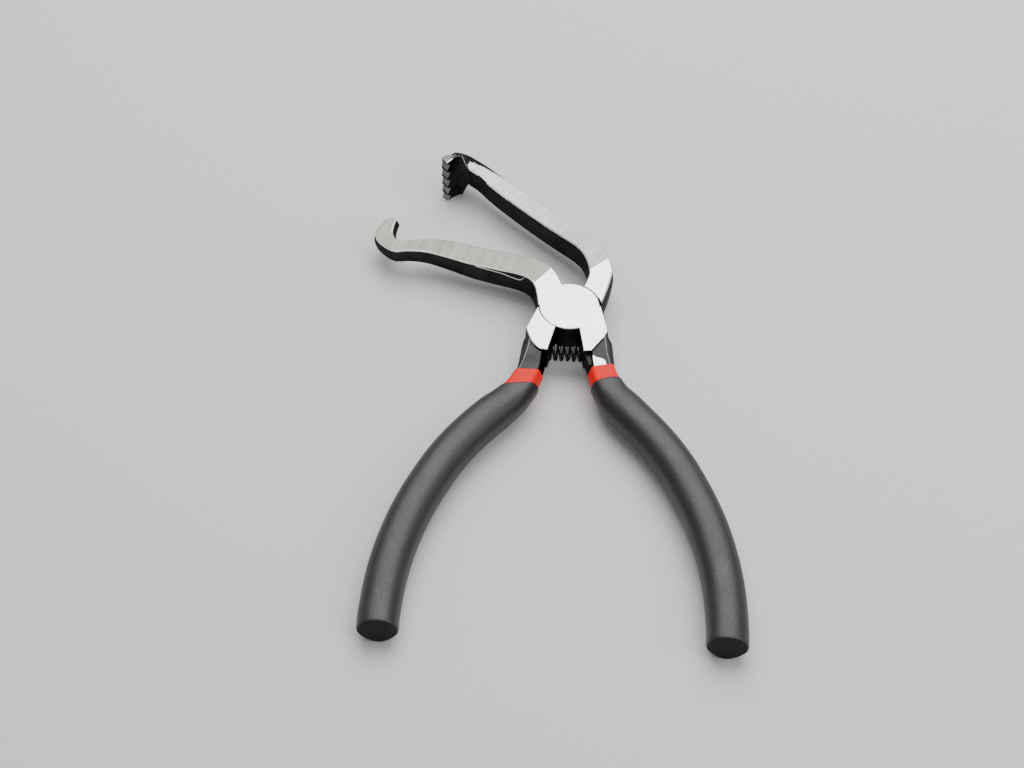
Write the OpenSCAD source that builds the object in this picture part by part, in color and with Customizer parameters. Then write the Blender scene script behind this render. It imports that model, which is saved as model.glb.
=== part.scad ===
// Spring-opening offset-jaw pliers with a lap joint and two-colour dipped grips.
// Origin: pivot axis where it meets the flat underside of the joint. +Z is up along the pivot axis.
// +Y points to the jaws, -Y to the handles. The pose is the free, open one.

/* [Joint] */
// Radius of the round lap disc on each lever
disc_r = 10.6; // [9:0.1:13]
// Full thickness of the joint
joint_t = 10; // [8:0.1:12]
// Radial room between a disc and the recess of the other lever
recess_gap = 0.3; // [0.2:0.05:0.6]
// Gap between the two lap faces
lap_gap = 0.06; // [0.04:0.01:0.2]
// Rivet shank diameter
rivet_d = 7; // [5:0.1:9]
// Rivet countersink diameter at the joint faces
rivet_head_d = 9; // [7:0.1:12]
// Depth of each rivet countersink
rivet_head_h = 1.4; // [0.8:0.1:2]
// Running clearance of the turning lever on the rivet
rivet_fit = 0.04; // [0.02:0.01:0.08]
// Chamfer round the ground disc and shoulders
edge_chamfer = 0.5; // [0.2:0.1:1]

/* [Jaws] */
// Thickness of the hook jaw at its tip
hook_tip_t = 5.2; // [4:0.1:8]
// Thickness of the toothed jaw at its far end
bar_tip_t = 8.6; // [6:0.1:10]
// Height of the serrated plate along the pivot axis
plate_h = 20; // [14:0.5:26]
// Number of teeth across the plate end
tooth_n = 5; // [3:1:8]
// Depth of the teeth
tooth_d = 1.1; // [0.6:0.1:1.6]

/* [Handles] */
// Height of the tang at the shoulder
tang_root_h = 9; // [7:0.1:10]
// Height of the tang where it enters the coats
tang_h = 8; // [6:0.1:9]
// Width of the tang at its top and bottom flats
tang_top_w = 5.4; // [4:0.1:8]
// Width of the tang at its parting line
tang_w = 9.2; // [7:0.1:10]
// Grip width where fully formed
grip_w = 13.4; // [11:0.1:16]
// Grip height where fully formed
grip_h = 12.4; // [10:0.1:15]
// Thickness of the red under-coat
coat_t = 0.7; // [0.6:0.1:1.5]
// Sweep stations along each handle
stations = 44; // [30:1:60]

/* [Spring] */
// Outer diameter of the coil
spring_od = 6; // [5:0.1:7]
// Wire diameter
spring_wire = 1; // [0.8:0.1:1.4]
// Number of turns
spring_turns = 9; // [5:0.5:10]
// Distance of the coil axis behind the pivot
spring_y = -17.6; // [-20:0.1:-15]
// Depth of each spring pocket in the tangs
pocket_d = 2.4; // [1.5:0.1:3]

/* [Hidden] */
$fn = 96;
mid = joint_t / 2;
steel = [0.72, 0.73, 0.75];
dark = [0.16, 0.16, 0.17];
red = [0.86, 0.16, 0.08];
black = [0.07, 0.07, 0.075];

// open Catmull-Rom chain through the control points, k steps for each span
function crp(a, b, c, d, t) = 0.5 * (2 * b + (c - a) * t + (2 * a - 5 * b + 4 * c - d) * t * t
    + (3 * b - a - 3 * c + d) * t * t * t);
function cr(p, k) = let (n = len(p)) concat([for (i = [0 : n - 2]) for (j = [0 : k - 1])
    crp(p[max(i - 1, 0)], p[i], p[i + 1], p[min(i + 2, n - 1)], j / k)], [p[n - 1]]);
// point at a fraction u (0 to 1) of a chain of control points
function cr_at(p, u) = let (n = len(p), s = min(max(u, 0), 0.99999) * (n - 1), i = floor(s), t = s - i)
    crp(p[max(i - 1, 0)], p[i], p[i + 1], p[min(i + 2, n - 1)], t);
function unit(v) = v / norm(v);
function mix(a, b, t) = a + (b - a) * min(max(t, 0), 1);
function ease(a, b, t) = let (u = min(max(t, 0), 1)) a + (b - a) * u * u * (3 - 2 * u);

// ---- jaw outlines, chosen control points in plan
hook_inner = [[-3.2, 10.6], [-4.8, 14.6], [-7.6, 18.6], [-12, 21.9], [-22, 24.8], [-37, 28.8],
    [-46, 31.2], [-53, 31.6], [-59, 31]];
hook_throat = [[-59, 31], [-62.2, 30.5], [-64.3, 31.3], [-65.6, 33.6], [-65.8, 36.8], [-65, 41.4]];
hook_outer = [[-66.9, 42.1], [-69.2, 40.8], [-71.2, 37.5], [-72, 33.8], [-70.9, 30.2], [-67.8, 27],
    [-64, 24.9], [-59, 25.4], [-53, 25], [-46, 22.9], [-36, 19.2], [-27, 16.8], [-20, 15.1],
    [-15.4, 13], [-13, 9.8], [-11.7, 4.6], [-10.95, -0.2]];
bar_outer = [[11.2, 2.2], [12.1, 5.6], [13.3, 10.2], [14.2, 14.6], [14.7, 17.6], [14.35, 19.8], [13.4, 23],
    [11.2, 28.4], [6, 34.2], [-5, 44.6], [-20.6, 57.7], [-32, 66.7], [-38, 70.4], [-41.4, 71.6]];
bar_inner = [[-40.2, 67], [-36, 63.6], [-31.7, 58.6], [-24, 51.1], [-12.4, 40.8], [-4.8, 34.5],
    [1.8, 29], [4.9, 24], [6.5, 17.8], [5.8, 13], [4.9, 10.2]];
// serrated plate: short limb turned back towards the hook
plate_plan = concat(cr([[-43.4, 69.9], [-46.6, 69.3], [-48.5, 68.6], [-49.9, 67.6], [-50.3, 66.3]], 4),
    cr([[-48.1, 64.1], [-46.8, 65.6], [-45.3, 67], [-42.9, 68.1]], 4));
web_plan = [[-36, 69.2], [-40.6, 71.2], [-43.4, 69.9], [-42.9, 68.1], [-39.9, 67.2], [-35.6, 66]];
// forged blend outside the corner, station by station: inner edge x, y, height above mid, outer edge x, y, height
blend = [[-24.6, 60, 4.2, -25, 61.6, 4], [-27.6, 62.2, 4.1, -28.4, 64.7, 3.8], [-31, 64.9, 4.1, -31.8, 68.2, 3.5],
    [-34.4, 67.2, 4.1, -35.1, 71.5, 3], [-37.4, 69, 4.1, -38, 73.8, 2.9], [-39.6, 70, 4.2, -40.2, 75.2, 3.2],
    [-41.4, 69.9, 5, -42, 75, 4.4], [-43.2, 69.1, 9.4, -44, 73.4, 6.6], [-45.4, 68.9, 9.7, -45.9, 72, 8.3],
    [-47.4, 68.5, 9.8, -47.8, 69.4, 9.4]];

// ---- handle path: control points of the right handle; the left one is its mirror
path = [[9.8, -8], [10.8, -15], [11.7, -22], [13.2, -29.4], [16.8, -37.2], [22.9, -44.8], [28.6, -51.6],
    [34, -59], [38.8, -67], [42.8, -75.4], [46.2, -83.6], [49, -92], [51.2, -100.6], [52.9, -109.6],
    [53.9, -118.6], [54.4, -128.6], [54.3, -135.2]];
function at(u) = cr_at(path, u);
function dir(u) = unit(cr_at(path, min(u + 0.003, 0.999)) - cr_at(path, max(u - 0.003, 0.001)));
function side(u) = let (d = dir(u)) [-d[1], d[0]];

// section: eight corners, half width at the flats, half width at the parting line, half height
function sec8(a, b, h) = [[b, 0.6], [b, -0.6], [a, -h], [-a, -h], [-b, -0.6], [-b, 0.6], [-a, h], [a, h]];
// section: rounded, k corners
function round_sec(w, h, k) = [for (i = [0 : k - 1]) let (t = 360 * (i + 0.5) / k, c = cos(t), s = sin(t))
    [sign(c) * pow(abs(c), s > 0 ? 1.08 : 0.88) * w / 2, -sign(s) * pow(abs(s), 0.88) * h / 2]];
function place(u, s, m) = let (p = at(u), n = side(u)) [for (q = s)
    [m * (p[0] + n[0] * q[0]), p[1] + n[1] * q[0], mid + q[1]]];

// closed skin over rings of k points each; the two ends are flat fans round their mean point
function mean(r) = [for (c = [0 : 2]) let (v = [for (p = r) p[c]]) sum(v) / len(v)];
function sum(v, i = 0) = i < len(v) ? v[i] + sum(v, i + 1) : 0;
module skin(rings, flip = false) {
    n = len(rings);
    k = len(rings[0]);
    pts = concat([for (r = rings) for (p = r) p], [mean(rings[0]), mean(rings[n - 1])]);
    tri = concat(
        [for (i = [0 : n - 2]) for (j = [0 : k - 1]) let (a = i * k + j, b = i * k + (j + 1) % k) [a, b, b + k]],
        [for (i = [0 : n - 2]) for (j = [0 : k - 1]) let (a = i * k + j, b = i * k + (j + 1) % k) [a, b + k, a + k]],
        [for (j = [0 : k - 1]) [n * k, (j + 1) % k, j]],
        [for (j = [0 : k - 1]) [n * k + 1, (n - 1) * k + j, (n - 1) * k + (j + 1) % k]]);
    polyhedron(points = pts, faces = flip ? [for (t = tri) [t[0], t[2], t[1]]] : tri, convexity = 6);
}

// ---- tang: drafted forging, narrowing inside the grip
tang_end = 0.93;
function tang_sec(u) = let (g = ease(0, 1, (u - 0.3) / 0.25))
    sec8(mix(mix(tang_top_w / 2, tang_top_w / 2 + 0.6, (u - 0.11) / 0.06), 2.2, g),
        mix(mix(3, mix(tang_w / 2 + 0.3, tang_w / 2, (u - 0.1) / 0.06), u / 0.05), 3, g),
        mix(mix(tang_root_h / 2, tang_h / 2, u / 0.16), 2.6, g));
function tang_rings(u0, u1, m, n) = [for (i = [0 : n]) let (u = u0 + (u1 - u0) * i / n) place(u, tang_sec(u), m)];
module tang(m) skin(tang_rings(0, tang_end, m, stations), m < 0);

// ---- two-colour dip: the red coat starts nearer the joint than the black one
red_u = [0.157, 0.184];
blk_u = [0.208, 0.24];
function red_out(u, s) = let (g = ease(0, 1, (u - red_u[s]) / 0.1))
    round_sec(mix(tang_w + 2 * coat_t, grip_w - 1.6, g), mix(tang_h + 2 * coat_t, grip_h - 1.6, g), 28);
function blk_out(u, s) = let (a = ease(0, 1, (u - blk_u[s]) / 0.09), z = min(max((u - 0.975) / 0.025, 0), 1),
    t = 1 - 0.19 * z * z)
    round_sec(mix(tang_w + 2 * coat_t + 1.7, grip_w, a) * t, mix(tang_h + 2 * coat_t + 2.6, grip_h, a) * t, 28);
red_end = 0.955;
module red_coat(m, s) difference() {
    skin([for (i = [0 : stations]) let (u = red_u[s] + (red_end - red_u[s]) * i / stations)
        place(u, red_out(u, s), m)], m < 0);
    tang(m);
}
module black_grip(m, s) difference() {
    skin([for (i = [0 : stations]) let (u = blk_u[s] + (1 - blk_u[s]) * pow(i / stations, 0.92))
        place(u, blk_out(u, s), m)], m < 0);
    skin([for (i = [0 : stations]) let (u = red_u[s] + (red_end - red_u[s]) * i / stations)
        place(u, red_out(u, s), m)], m < 0);
}

// ---- arms thin out towards their tips, evenly above and below the parting plane
module wedge(ang, org, l0, l1, t1) translate([org[0], org[1], mid]) rotate([0, 0, ang]) rotate([90, 0, 0])
    linear_extrude(height = 80, center = true) polygon([[-60, -mid], [l0, -mid], [l1, -t1 / 2],
        [l1 + 14, -t1 / 2], [l1 + 14, t1 / 2], [l1, t1 / 2], [l0, mid], [-60, mid]]);

module slab(h) linear_extrude(height = h) children();
module shoulder_plan(m) if (m > 0)
        polygon([[5, -3], [10.3, 0.3], [10.8, 1.2], [13.8, -10.8], [12.5, -13.8], [10.6, -16.7], [8.3, -20.1],
            [5.7, -20.3], [3.8, -9.9]]);
    else
        polygon([[-5, -3], [-10.5, -1.4], [-11.1, -0.9], [-14.6, -10.9], [-13.6, -14.1], [-12.5, -16.8], [-11.1, -18.8],
            [-9.4, -20.3], [-6.8, -20.6], [-4.5, -9.9]]);
module shoulder(m) slab(joint_t) shoulder_plan(m);
// chamfered disc between two heights; only its outer rim is broken
module disc(z0, z1, top) translate([0, 0, z0]) if (top)
        rotate_extrude() polygon([[0, 0], [disc_r, 0], [disc_r, z1 - z0 - edge_chamfer / 2],
            [disc_r - edge_chamfer / 2, z1 - z0], [0, z1 - z0]]);
    else
        rotate_extrude() polygon([[0, 0], [disc_r - edge_chamfer / 2, 0], [disc_r, edge_chamfer / 2],
            [disc_r, z1 - z0], [0, z1 - z0]]);
// how far the tang wall stands from the middle beside the spring
pocket_x = 6.3;

module toothed_jaw_lever() color(steel) difference() {
    union() {
        intersection() {
            slab(joint_t) polygon(concat([[2, 2]], [[10.6, 2.2]], cr(bar_outer, 5), cr(bar_inner, 5)));
            wedge(133, [10.5, 21.6], 0, 72, bar_tip_t);
        }
        shoulder(-1);
        disc(0, mid - lap_gap / 2, false);
        tang(-1);
        translate([0, 0, mid - plate_h / 2]) slab(plate_h) polygon(plate_plan);
        // web that climbs steeply from the bar to the full height of the plate
        intersection() {
            translate([0, 0, mid - plate_h / 2]) slab(plate_h) polygon(web_plan);
            translate([-43.1, 69.2, mid]) rotate([90, 0, 0]) linear_extrude(height = 12, center = true)
                polygon([[3.6, -2], [2.6, -4], [1.2, -7], [0, -plate_h / 2], [-2, -plate_h / 2],
                    [-2, plate_h / 2], [0, plate_h / 2], [1.2, 7], [2.6, 4], [3.6, 2]]);
        }
        skin([for (b = blend) [[b[0], b[1], mid - b[2]], [b[3], b[4], mid - b[5]],
            [b[3], b[4], mid + b[5]], [b[0], b[1], mid + b[2]]]]);
    }
    // recess that takes the other lever's disc
    translate([0, 0, mid - lap_gap / 2]) cylinder(h = joint_t, r = disc_r + recess_gap);
    // rivet seat, a tight fit in this lever
    rivet_hole(0);
    pocket(-1);
    teeth();
    // the seam opens a little towards the tip of the neck
    translate([0, 0, mid - lap_gap / 2]) slab(joint_t) polygon([[9.9, 4.9], [10.6, 3.9], [11.2, 2.4], [11.5, 0.9], [11.6, 0], [10, 0]]);
}
module pocket(m) translate([m * pocket_x, spring_y, mid]) rotate([0, m * 90, 0]) translate([0, 0, -3])
    cylinder(h = 3 + pocket_d, r = spring_od / 2 + 0.1);
// grooves run along the plate thickness, across its end
module teeth() translate([-49.2, 65.2, mid]) rotate([0, 0, 228]) for (i = [0 : tooth_n - 1])
    translate([0, 0, -plate_h / 2 + (i + 0.5) * plate_h / tooth_n]) rotate([90, 0, 0])
        linear_extrude(height = 12, center = true)
            polygon([[1, -plate_h / tooth_n * 0.5], [1, plate_h / tooth_n * 0.38], [0.2, plate_h / tooth_n * 0.3],
                [-tooth_d, plate_h / tooth_n * 0.1], [0.2, -plate_h / tooth_n * 0.5]]);

module hook_jaw_lever() color(steel) difference() {
    union() {
        intersection() {
            slab(joint_t) polygon(concat([[-2, 2]], cr(hook_inner, 5), cr(hook_throat, 5), cr(hook_outer, 5), [[-10.6, 0.9]]));
            wedge(143, [-9.3, 15.2], 0, 57, hook_tip_t);
        }
        // forging draft: the throat of the hook stands proud at the parting plane
        translate([0, 0, mid - 0.7]) slab(1.4) polygon([[-65.6, 40.8], [-64.2, 40.5], [-64.6, 36.8], [-64.4, 34.4],
            [-63.4, 32.5], [-61.8, 31.7], [-62, 30], [-65, 30.5], [-67, 33], [-67, 38]]);
        shoulder(1);
        translate([0, 0, 1.8]) slab(6.4) polygon([[5.7, -20], [8.5, -19.8], [9.6, -25.4], [7.4, -25.4]]);
        disc(mid + lap_gap / 2, joint_t, true);
        tang(1);
    }
    translate([0, 0, -1]) cylinder(h = mid + lap_gap / 2 + 1, r = disc_r + recess_gap);
    rivet_hole(rivet_fit);
    pocket(1);
}

// hole through both discs with a countersink at each joint face, wider than the rivet by g all round
module rivet_hole(g) let (k = (rivet_head_d - rivet_d) / 2 / rivet_head_h) rotate_extrude()
    polygon([[0, -1], [rivet_head_d / 2 + g + k, -1], [rivet_d / 2 + g, rivet_head_h],
        [rivet_d / 2 + g, joint_t - rivet_head_h], [rivet_head_d / 2 + g + k, joint_t + 1], [0, joint_t + 1]]);

module pivot_rivet() color(steel) rotate_extrude() polygon([[0, 0], [rivet_head_d / 2, 0],
    [rivet_d / 2, rivet_head_h], [rivet_d / 2, joint_t - rivet_head_h],
    [rivet_head_d / 2, joint_t], [0, joint_t]]);

// compression coil between the pockets, axis along X, ends closed up
spring_x = pocket_x + pocket_d - 0.05;
function coil_x(v) = let (q = 1.1 / spring_turns) v < q ? spring_wire * 0.9 * v / q :
    v > 1 - q ? 2 * spring_x - spring_wire - spring_wire * 0.9 * (1 - v) / q :
    spring_wire * 0.9 + (2 * spring_x - spring_wire - spring_wire * 1.8) * (v - q) / (1 - 2 * q);
module return_spring() color(dark) let (n = spring_turns * 14, r = (spring_od - spring_wire) / 2)
    translate([-spring_x + spring_wire / 2, spring_y, mid])
        skin([for (i = [0 : n]) let (a = 360 * spring_turns * i / n, x = coil_x(i / n))
            [for (j = [0 : 7]) let (b = -45 * j, w = spring_wire / 2)
                [x + w * sin(b), (r + w * cos(b)) * cos(a), (r + w * cos(b)) * sin(a)]]]);

module red_coat_left() color(red) red_coat(-1, 1);
module red_coat_right() color(red) red_coat(1, 0);
module black_grip_left() color(black) black_grip(-1, 1);
module black_grip_right() color(black) black_grip(1, 0);

toothed_jaw_lever();
hook_jaw_lever();
pivot_rivet();
return_spring();
red_coat_left();
red_coat_right();
black_grip_left();
black_grip_right();
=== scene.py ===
import bpy
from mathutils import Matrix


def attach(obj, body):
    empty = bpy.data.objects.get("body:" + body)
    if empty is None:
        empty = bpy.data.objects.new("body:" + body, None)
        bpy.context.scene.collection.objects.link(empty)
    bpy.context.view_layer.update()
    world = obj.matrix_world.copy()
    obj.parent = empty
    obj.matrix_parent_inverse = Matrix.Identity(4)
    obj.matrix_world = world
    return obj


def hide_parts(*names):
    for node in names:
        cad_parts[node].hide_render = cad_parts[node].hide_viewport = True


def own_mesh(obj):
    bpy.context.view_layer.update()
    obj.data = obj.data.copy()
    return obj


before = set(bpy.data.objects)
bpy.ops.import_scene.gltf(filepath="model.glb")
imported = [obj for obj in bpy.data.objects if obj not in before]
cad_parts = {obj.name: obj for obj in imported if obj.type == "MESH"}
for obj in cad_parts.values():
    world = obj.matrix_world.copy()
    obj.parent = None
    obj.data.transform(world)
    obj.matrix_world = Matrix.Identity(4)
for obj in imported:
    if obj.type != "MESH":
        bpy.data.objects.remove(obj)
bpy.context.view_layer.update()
import bpy, bmesh, math
from mathutils import Vector, Matrix

MM = 0.001
MID = 5.0
TOOTHED, HOOK = "toothed_lever", "hook_lever"


# ---------------------------------------------------------------- curves
def crp(a, b, c, d, t):
    return [0.5 * (2 * q + (r - p) * t + (2 * p - 5 * q + 4 * r - s) * t * t + (3 * q - p - 3 * r + s) * t ** 3)
            for p, q, r, s in zip(a, b, c, d)]


def cr_at(P, s):
    n = len(P)
    s = min(max(s, 0.0), n - 1 - 1e-6)
    i = int(s)
    return crp(P[max(i - 1, 0)], P[i], P[i + 1], P[min(i + 2, n - 1)], s - i)


def cr(P, k):
    return [cr_at(P, i / k) for i in range((len(P) - 1) * k)] + [list(P[-1])]


def mix(a, b, t):
    return a + (b - a) * min(max(t, 0.0), 1.0)


def ease(a, b, t):
    t = min(max(t, 0.0), 1.0)
    return a + (b - a) * t * t * (3 - 2 * t)


def unit(x, y):
    n = math.hypot(x, y) or 1.0
    return x / n, y / n


# ---------------------------------------------------------------- meshes
def mesh_obj(name, verts, faces, mats=None):
    me = bpy.data.meshes.new(name)
    me.from_pydata([(x * MM, y * MM, z * MM) for x, y, z in verts], [], faces)
    bm = bmesh.new()
    bm.from_mesh(me)
    bmesh.ops.recalc_face_normals(bm, faces=bm.faces)
    bm.to_mesh(me)
    bm.free()
    ob = bpy.data.objects.new(name, me)
    bpy.context.scene.collection.objects.link(ob)
    return ob


def loft(name, rings, cap=True):
    k = len(rings[0])
    verts = [p for r in rings for p in r]
    faces = []
    for i in range(len(rings) - 1):
        for j in range(k):
            a, b = i * k + j, i * k + (j + 1) % k
            faces.append((a, b, b + k, a + k))
    if cap:
        faces.append(tuple(range(k))[::-1])
        faces.append(tuple((len(rings) - 1) * k + j for j in range(k)))
    return mesh_obj(name, verts, faces)


def loft_closed(name, rings):
    """closed both ways, such as a skin that turns back inside itself"""
    k = len(rings[0])
    n = len(rings)
    verts = [p for r in rings for p in r]
    faces = []
    for i in range(n):
        for j in range(k):
            a, b = i * k + j, i * k + (j + 1) % k
            c = ((i + 1) % n) * k
            faces.append((a, b, c + (j + 1) % k, c + j))
    return mesh_obj(name, verts, faces)


def poly_offset(P, d):
    """moves each corner of a closed outline inwards by d (a number or one for each corner)"""
    n = len(P)
    area = sum(P[i][0] * P[(i + 1) % n][1] - P[(i + 1) % n][0] * P[i][1] for i in range(n))
    s = 1 if area > 0 else -1
    out = []
    for i in range(n):
        dd = d[i] if isinstance(d, (list, tuple)) else d
        ax, ay = unit(P[i][0] - P[i - 1][0], P[i][1] - P[i - 1][1])
        bx, by = unit(P[(i + 1) % n][0] - P[i][0], P[(i + 1) % n][1] - P[i][1])
        nx, ny = unit(-ay - by, ax + bx)
        c = max(nx * -ay + ny * ax, 0.45)
        out.append([P[i][0] + s * nx * dd / c, P[i][1] + s * ny * dd / c])
    return out


def prism(name, P, z0, z1, top=0.3, bottom=0.3, draft=None, mid=None):
    """plan outline drawn between two heights, its rims broken by a bevel, its walls drafted to a parting line"""
    draft = draft if draft is not None else [0.0] * len(P)
    mid = (z0 + z1) / 2 if mid is None else mid
    neg = [-q for q in draft]
    rows = []
    if bottom:
        rows += [(poly_offset(P, bottom), z0), (poly_offset(P, bottom * 0.28), z0 + bottom * 0.3), (P, z0 + bottom)]
    else:
        rows += [(P, z0)]
    if z0 < mid - 0.4 < z1 and max(draft) > 0:
        rows += [(poly_offset(P, neg), mid - 0.3), (poly_offset(P, neg), mid + 0.3)]
    if top:
        rows += [(P, z1 - top), (poly_offset(P, top * 0.28), z1 - top * 0.3), (poly_offset(P, top), z1)]
    else:
        rows += [(P, z1)]
    return loft(name, [[(x, y, z) for x, y in R] for R, z in rows])


def revolve(name, prof, n=160):
    """closed solid round the pivot axis from a profile of (radius, height) whose ends lie on the axis"""
    verts, faces = [(0, 0, prof[0][1]), (0, 0, prof[-1][1])], []
    body = prof[1:-1]
    for r, z in body:
        for i in range(n):
            a = 2 * math.pi * i / n
            verts.append((r * math.cos(a), r * math.sin(a), z))
    for q in range(len(body) - 1):
        for i in range(n):
            a, b = 2 + q * n + i, 2 + q * n + (i + 1) % n
            faces.append((a, b, b + n, a + n))
    faces.append(tuple(2 + i for i in range(n))[::-1])
    faces.append(tuple(2 + (len(body) - 1) * n + i for i in range(n)))
    verts, faces = verts[2:], [tuple(v - 2 for v in f) for f in faces]
    return mesh_obj(name, verts, faces)


def plain_prism(name, P, z0, z1):
    return prism(name, P, z0, z1, 0, 0)


def csg(base, steps):
    for op, other in steps:
        m = base.modifiers.new("b", "BOOLEAN")
        m.operation, m.solver, m.object = op, "EXACT", other
        bpy.context.view_layer.update()
        me = bpy.data.meshes.new_from_object(base.evaluated_get(bpy.context.evaluated_depsgraph_get()))
        base.modifiers.clear()
        old = base.data
        base.data = me
        me.name = base.name
        bpy.data.meshes.remove(old)
        bpy.data.objects.remove(other, do_unlink=True)
    return base


# ---------------------------------------------------------------- dimensions shared with the CAD
DISC, GAP, LAP = 10.6, 0.3, 0.06
hook_inner = [[-3.2, 10.6], [-4.8, 14.6], [-7.6, 18.6], [-12, 21.9], [-22, 24.8], [-37, 28.8],
              [-46, 31.2], [-53, 31.6], [-59, 31]]
hook_throat = [[-59, 31], [-62.2, 30.5], [-64.3, 31.3], [-65.6, 33.6], [-65.8, 36.8], [-65, 41.4]]
hook_outer = [[-66.9, 42.1], [-69.2, 40.8], [-71.2, 37.5], [-72, 33.8], [-70.9, 30.2], [-67.8, 27],
              [-64, 24.9], [-59, 25.4], [-53, 25], [-46, 22.9], [-36, 19.2], [-27, 16.8], [-20, 15.1],
              [-15.4, 13], [-13, 9.8], [-11.7, 4.6], [-10.95, -0.2]]
bar_outer = [[11.2, 2.2], [12.1, 5.6], [13.3, 10.2], [14.2, 14.6], [14.7, 17.6], [14.35, 19.8], [13.4, 23],
             [11.2, 28.4], [6, 34.2], [-5, 44.6], [-20.6, 57.7], [-32, 66.7], [-38, 70.4], [-41.4, 71.6]]
bar_inner = [[-40.2, 67], [-36, 63.6], [-31.7, 58.6], [-24, 51.1], [-12.4, 40.8], [-4.8, 34.5],
             [1.8, 29], [4.9, 24], [6.5, 17.8], [5.8, 13], [4.9, 10.2]]
path = [[9.8, -8], [10.8, -15], [11.7, -22], [13.2, -29.4], [16.8, -37.2], [22.9, -44.8], [28.6, -51.6],
        [34, -59], [38.8, -67], [42.8, -75.4], [46.2, -83.6], [49, -92], [51.2, -100.6], [52.9, -109.6],
        [53.9, -118.6], [54.4, -128.6], [54.3, -135.2]]
SPR_Y, SPR_OD, WIRE, TURNS, SPR_X = -17.6, 6.0, 1.0, 9.0, 8.65


def at(u):
    return cr_at(path, u * (len(path) - 1))


def side(u):
    a, b = at(max(u - 0.003, 0.001)), at(min(u + 0.003, 0.999))
    dx, dy = unit(b[0] - a[0], b[1] - a[1])
    return -dy, dx


def wedge_t(x, y, ang, ox, oy, l0, l1, t1):
    a = math.radians(ang)
    l = (x - ox) * math.cos(a) + (y - oy) * math.sin(a)
    return mix(10.0, t1, (l - l0) / (l1 - l0))


def hook_t(x, y):
    return wedge_t(x, y, 143, -9.3, 15.2, 0, 57, 5.2)


def bar_t(x, y):
    return wedge_t(x, y, 133, 10.5, 21.6, 0, 72, 8.6)


def crease(ob, ox, oy, ang):
    """cuts a crisp line across the arm where its faces start to thin"""
    a = math.radians(ang)
    no = Vector((math.cos(a), math.sin(a), 0))
    bm = bmesh.new()
    bm.from_mesh(ob.data)
    cut = bmesh.ops.bisect_plane(bm, geom=bm.verts[:] + bm.edges[:] + bm.faces[:], plane_co=Vector((ox, oy, 0)) * MM,
                                 plane_no=no, dist=1e-7)["geom_cut"]
    for v in cut:
        if isinstance(v, bmesh.types.BMVert):
            if v.co.z > 9.85 * MM:
                v.co.z = 10 * MM
            elif v.co.z < 0.15 * MM:
                v.co.z = 0
    bm.to_mesh(ob.data)
    bm.free()


def arm(name, pairs, tf, bev=0.4, draft=0.085, proud=None):
    """forged arm lofted through pairs of edge points: flat faces, broken rims, drafted walls, parting line"""
    rings = []
    for A, B in pairs:
        nx, ny = unit(B[0] - A[0], B[1] - A[1])
        w = math.hypot(B[0] - A[0], B[1] - A[1])

        def P(u, f, z=None):
            x, y = A[0] + nx * u, A[1] + ny * u
            T = tf(min(max(A[0], B[0]), max(min(A[0], B[0]), x)), min(max(A[1], B[1]), max(min(A[1], B[1]), y))) / 2
            return (x, y, MID + (T - f if z is None else z))

        T = tf((A[0] + B[0]) / 2, (A[1] + B[1]) / 2) / 2
        d = draft * T
        ea, eb = proud(*A) if proud else (0.0, 0.0)
        b = min(bev, w * 0.3)
        up = [P(-d - ea, 0, 0.28), P(-d * 0.12 - ea * 0.1, b * 1.15), P(b * 0.3, b * 0.32), P(b, 0), P(w * 0.5, 0),
              P(w - b, 0), P(w - b * 0.3, b * 0.32), P(w + d * 0.12 + eb * 0.1, b * 1.15), P(w + d + eb, 0, 0.28)]
        low = [(x, y, 2 * MID - z) for x, y, z in up[::-1]]
        rings.append(up + low)
    return loft(name, rings)


def matched(inner, outer, anchors, per=6):
    """pairs of edge points; anchors give matching places (inner index, outer index) on the two chains"""
    out = []
    for (a0, b0), (a1, b1) in zip(anchors, anchors[1:]):
        n = max(2, int(round(per * max(abs(a1 - a0), abs(b1 - b0)))))
        for i in range(n):
            t = i / n
            out.append((cr_at(inner, a0 + (a1 - a0) * t), cr_at(outer, b0 + (b1 - b0) * t)))
    out.append((cr_at(inner, anchors[-1][0]), cr_at(outer, anchors[-1][1])))
    return out


# ---------------------------------------------------------------- tang and shoulder
def sec_tang(u):
    g = ease(0, 1, (u - 0.3) / 0.25)
    a = mix(mix(2.7, 3.3, (u - 0.11) / 0.06), 2.2, g)
    b = mix(mix(3.0, mix(4.9, 4.6, (u - 0.1) / 0.06), u / 0.05), 3.0, g)
    h = mix(mix(4.5, 4.0, u / 0.16), 2.6, g)
    top = [(-b, 0.35), (-a - 0.16, h - 0.28), (-a + 0.12, h), (a - 0.5, h), (a - 0.28, h - 0.06), (a + 0.42, h - 0.72),
           (a + 0.55, h - 0.95), (b, 0.35)]
    return top + [(x, -z) for x, z in top[::-1]]


def tang(m):
    rings = []
    n = 96
    for i in range(n + 1):
        u = 0.93 * i / n
        p, q = at(u), side(u)
        rings.append([(m * (p[0] + q[0] * s), p[1] + q[1] * s, MID + z) for s, z in sec_tang(u)])
    return loft("tang", rings)


def arc(r, a0, a1, n):
    return [[r * math.cos(math.radians(a0 + (a1 - a0) * i / n)), r * math.sin(math.radians(a0 + (a1 - a0) * i / n))]
            for i in range(n + 1)]


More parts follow.
